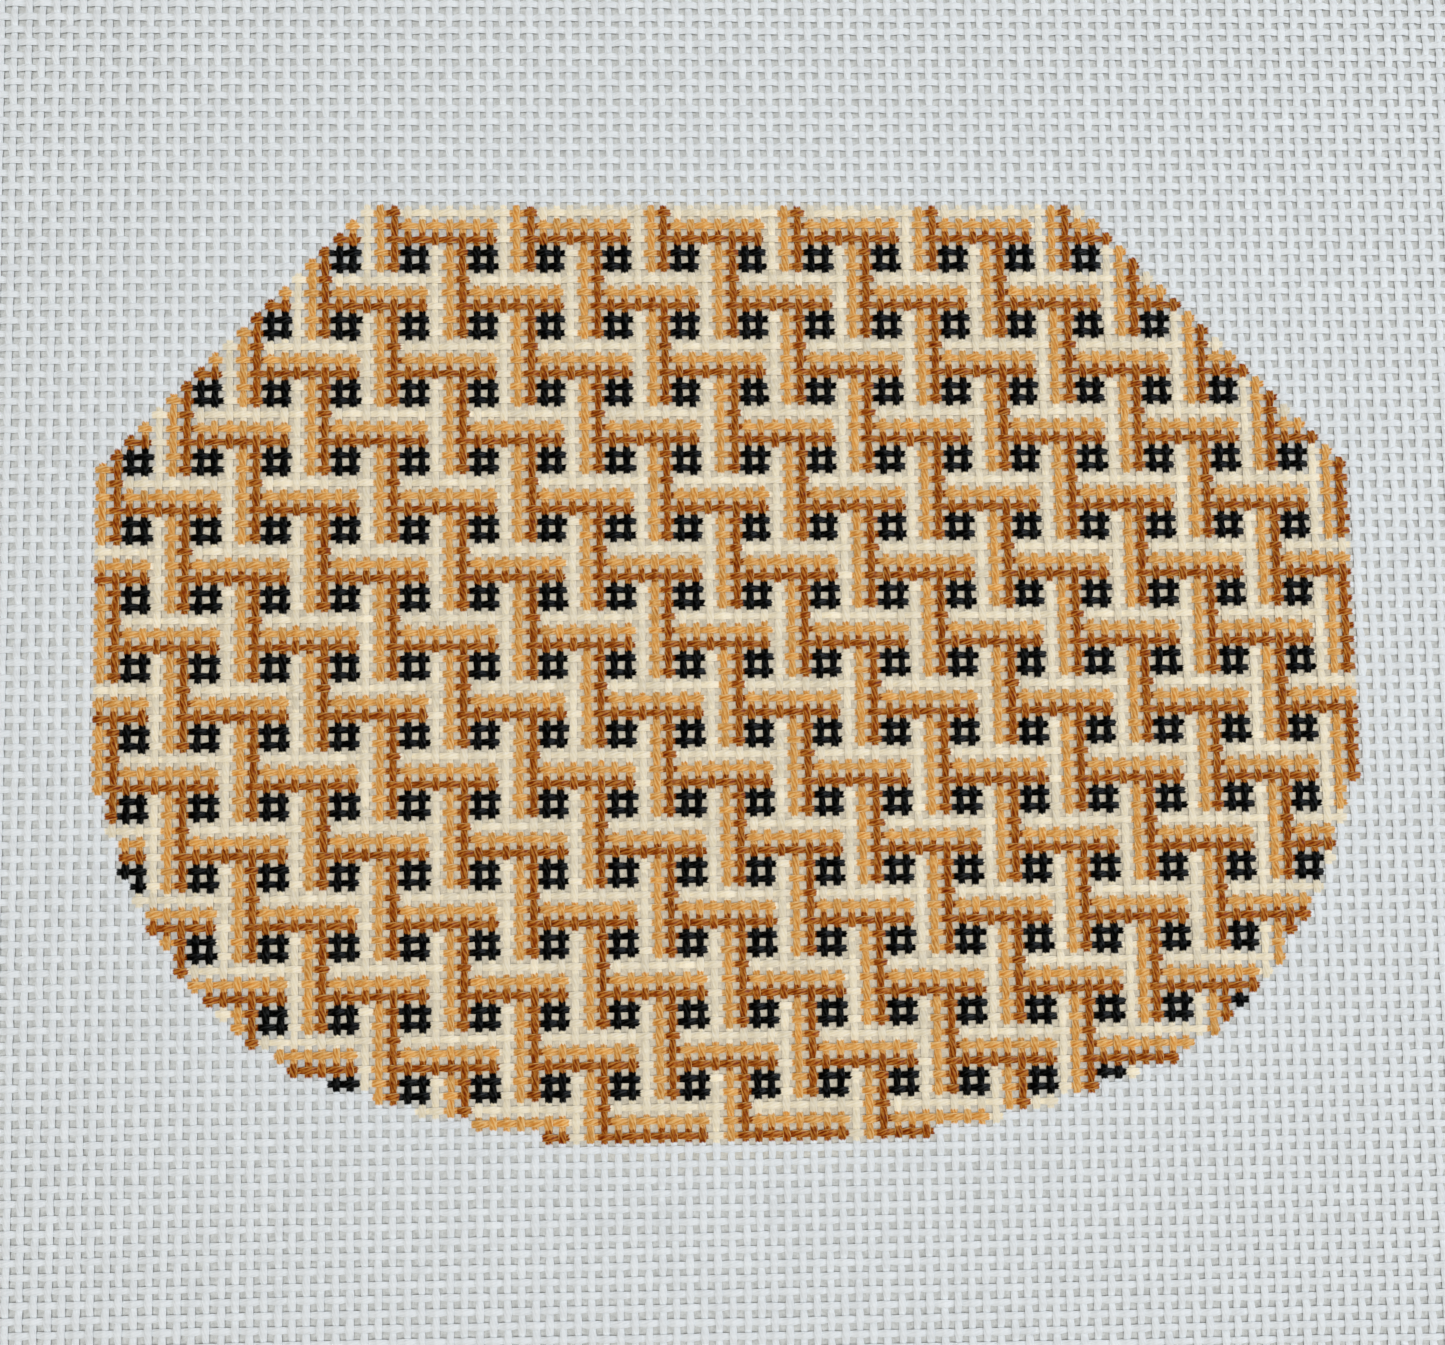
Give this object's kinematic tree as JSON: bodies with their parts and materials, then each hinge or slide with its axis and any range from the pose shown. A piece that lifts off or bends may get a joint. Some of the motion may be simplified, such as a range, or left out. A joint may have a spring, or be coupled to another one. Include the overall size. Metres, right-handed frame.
{
  "type": "painted needlepoint canvas panel",
  "caption": "Flat rectangular panel of open plain-woven cotton needlepoint canvas, painted with an interlaced cane pattern inside a bare margin, ready for stitching.",
  "frame": {"origin": "middle of the underside, below the centre of the painted field", "axes": "+X along the painted field's width, +Y in the plane of the canvas towards the field's straight top edge, +Z out of the painted face"},
  "size_m": [0.2814, 0.2364, 0.001],
  "materials": {
    "cotton_canvas": "white sized cotton mono canvas, matte, with hand-painted threads in cream, light tan, brown and black"
  },
  "bodies": {
    "root": {"canvas": "cotton_canvas"}
  },
  "joints": []
}
